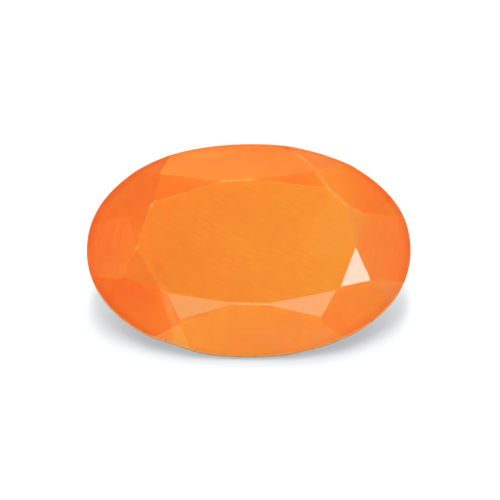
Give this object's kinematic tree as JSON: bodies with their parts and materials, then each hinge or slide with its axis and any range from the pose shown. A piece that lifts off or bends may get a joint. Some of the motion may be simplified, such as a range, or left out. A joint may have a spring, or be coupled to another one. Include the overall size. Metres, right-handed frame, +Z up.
{
  "type": "faceted carnelian",
  "caption": "Loose oval carnelian with a flat table, a sloping faceted crown and a deep pavilion, lying tilted on a pavilion facet. For setting in jewellery or for display.",
  "frame": {"origin": "on the surface that the stone lies on, under the middle of its bounding box", "axes": "+X along the stone's length, +Z up, and -Y the side that the tilted table faces"},
  "size_m": [0.015, 0.008, 0.0067],
  "materials": {
    "carnelian": "polished translucent orange chalcedony"
  },
  "bodies": {
    "root": {"stone": "carnelian"}
  },
  "joints": []
}
